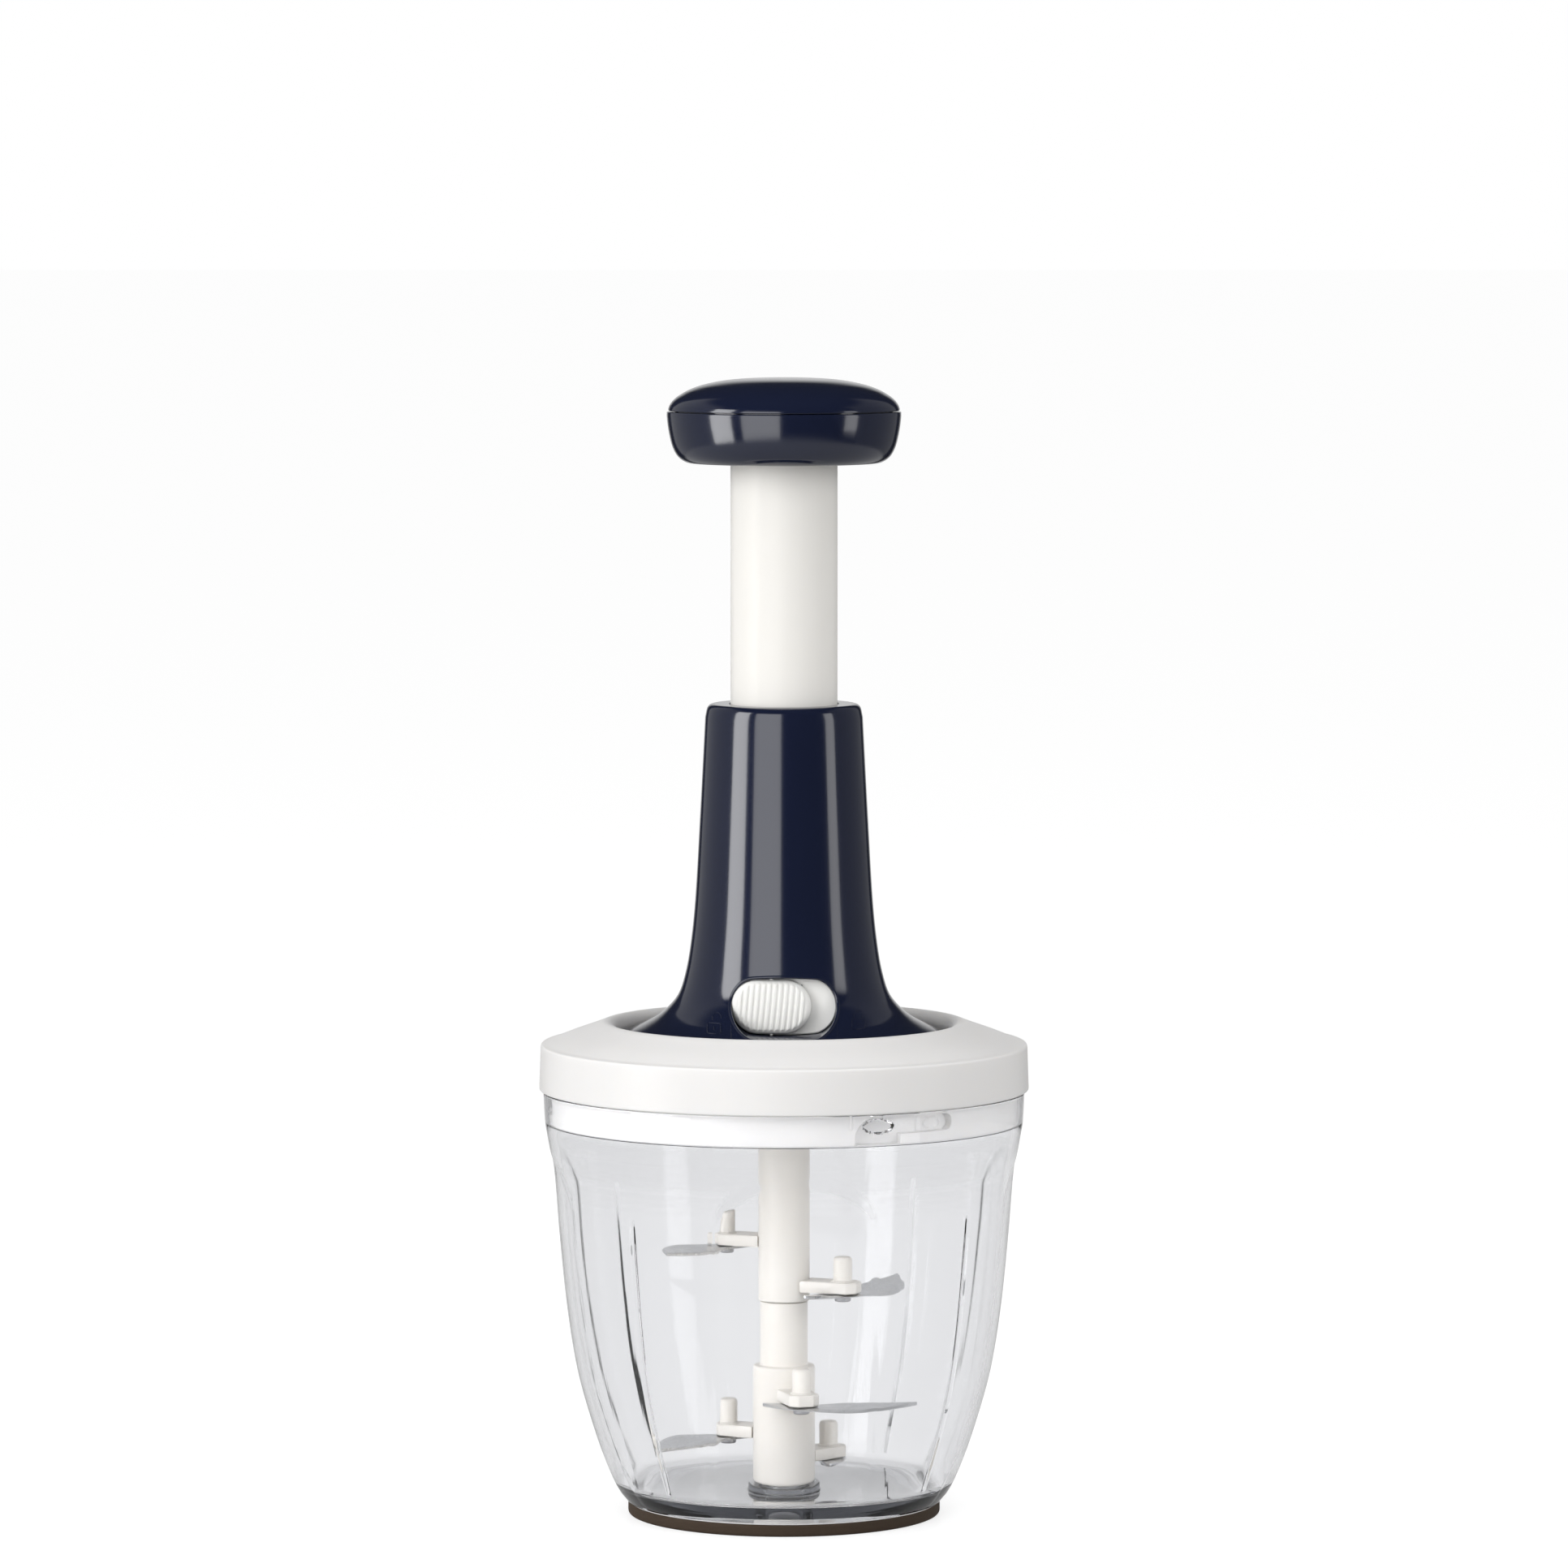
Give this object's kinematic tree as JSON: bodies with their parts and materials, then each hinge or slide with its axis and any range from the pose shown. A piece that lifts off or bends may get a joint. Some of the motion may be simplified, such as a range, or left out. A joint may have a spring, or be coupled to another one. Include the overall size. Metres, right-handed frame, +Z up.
{
  "type": "plunger food chopper",
  "caption": "Hand-pumped food chopper: clear bowl with a two-tier blade shaft, recessed lid and a navy pump unit with mushroom knob, white plunger tube and slide lock.",
  "frame": {"origin": "centre of the base pad's underside, on the table", "axes": "+Z up along the common axis of bowl, blades, lid and pump; -Y is the front with the lock window; +X is to the right seen from the front"},
  "size_m": [0.1562, 0.1562, 0.363],
  "materials": {
    "clear_plastic": "clear moulded plastic, polished",
    "pad_rubber": "matt soft-touch rubber",
    "lid_white": "slightly translucent white plastic, satin",
    "navy_gloss": "high-gloss navy plastic",
    "ivory_plastic": "satin ivory plastic",
    "white_plastic": "smooth warm white plastic",
    "steel": "satin stainless steel",
    "gear_plastic": "natural engineering plastic",
    "brass": "turned brass"
  },
  "bodies": {
    "bowl": {"bowl": "clear_plastic", "base_pad": "pad_rubber"},
    "blades": {"lower_blade_shaft": "ivory_plastic", "upper_blade_sleeve": "ivory_plastic", "lower_blade_1": "steel", "lower_blade_2": "steel", "lower_blade_3": "steel", "upper_blade_1": "steel", "upper_blade_2": "steel", "blade_rivet_1": "steel", "blade_rivet_2": "steel", "blade_rivet_3": "steel", "blade_rivet_4": "steel", "blade_rivet_5": "steel"},
    "lid": {"lid": "lid_white"},
    "pump": {"housing": "navy_gloss", "base_cover": "navy_gloss", "cover_screw_1": "steel", "cover_screw_2": "steel", "cover_screw_3": "steel", "tube_guide": "white_plastic", "lock_guide": "white_plastic", "ring_gear": "gear_plastic", "gearbox_plate": "white_plastic", "drive_bush": "brass", "return_spring": "steel"},
    "plunger": {"knob_cap": "navy_gloss", "knob_base": "navy_gloss", "knob_screw": "steel", "plunger_tube": "white_plastic", "tube_plug": "white_plastic", "drive_nut": "gear_plastic"},
    "lock": {"lock_button": "white_plastic", "lock_bolt": "white_plastic"},
    "rotor": {"spiral_rod": "steel", "spring_seat": "white_plastic", "ratchet_wheel": "steel", "clutch_pawl_1": "white_plastic", "clutch_pawl_2": "white_plastic", "planet_carrier": "white_plastic", "planet_pin_1": "steel", "planet_pin_2": "steel", "planet_pin_3": "steel"},
    "planet_1": {"planet_gear_1": "gear_plastic"},
    "planet_2": {"planet_gear_2": "gear_plastic"},
    "planet_3": {"planet_gear_3": "gear_plastic"},
    "drive": {"drive_shaft": "navy_gloss", "sun_gear": "gear_plastic", "thrust_washer": "steel"}
  },
  "joints": [
    {"name": "blade_spin", "type": "hinge", "parent": "bowl", "child": "blades", "pos_m": [0, 0, 0.02], "axis": [0, 0, 1], "range_deg": [-1441, 0]},
    {"name": "lid_lift", "type": "slide", "parent": "bowl", "child": "lid", "axis": [0, 0, 1], "range_m": [0, 0.0566]},
    {"name": "pump_lift", "type": "slide", "parent": "lid", "child": "pump", "axis": [0, 0, 1], "range_m": [0, 0.0553]},
    {"name": "plunger_press", "type": "slide", "parent": "pump", "child": "plunger", "axis": [0, 0, 1], "range_m": [-0.07, 0], "stiffness_N_per_m": 300, "springref_m": 0.03, "deforming": ["return_spring"]},
    {"name": "lock_slide", "type": "slide", "parent": "pump", "child": "lock", "axis": [1, 0, 0], "range_m": [0, 0.008]},
    {"name": "rod_spin", "type": "hinge", "parent": "pump", "child": "rotor", "pos_m": [0, 0, 0.15], "axis": [0, 0, 1], "range_deg": [-361, 0]},
    {"name": "planet_spin_1", "type": "hinge", "parent": "rotor", "child": "planet_1", "pos_m": [0.0252, 0, 0.1375], "axis": [0, 0, 1], "range_deg": [0, 1081]},
    {"name": "planet_spin_2", "type": "hinge", "parent": "rotor", "child": "planet_2", "pos_m": [-0.0126, 0.02182, 0.1375], "axis": [0, 0, 1], "range_deg": [0, 1081]},
    {"name": "planet_spin_3", "type": "hinge", "parent": "rotor", "child": "planet_3", "pos_m": [-0.0126, -0.02182, 0.1375], "axis": [0, 0, 1], "range_deg": [0, 1081]},
    {"name": "drive_spin", "type": "hinge", "parent": "pump", "child": "drive", "pos_m": [0, 0, 0.13], "axis": [0, 0, 1], "range_deg": [-1441, 0]}
  ],
  "couplings": [
    {"joint": "rod_spin", "follows": "plunger_press", "rad_per_m": 89.76},
    {"joint": "planet_spin_1", "follows": "plunger_press", "rad_per_m": -269.28},
    {"joint": "planet_spin_2", "follows": "plunger_press", "rad_per_m": -269.28},
    {"joint": "planet_spin_3", "follows": "plunger_press", "rad_per_m": -269.28},
    {"joint": "drive_spin", "follows": "plunger_press", "rad_per_m": 359.04},
    {"joint": "blade_spin", "follows": "plunger_press", "rad_per_m": 359.04}
  ]
}
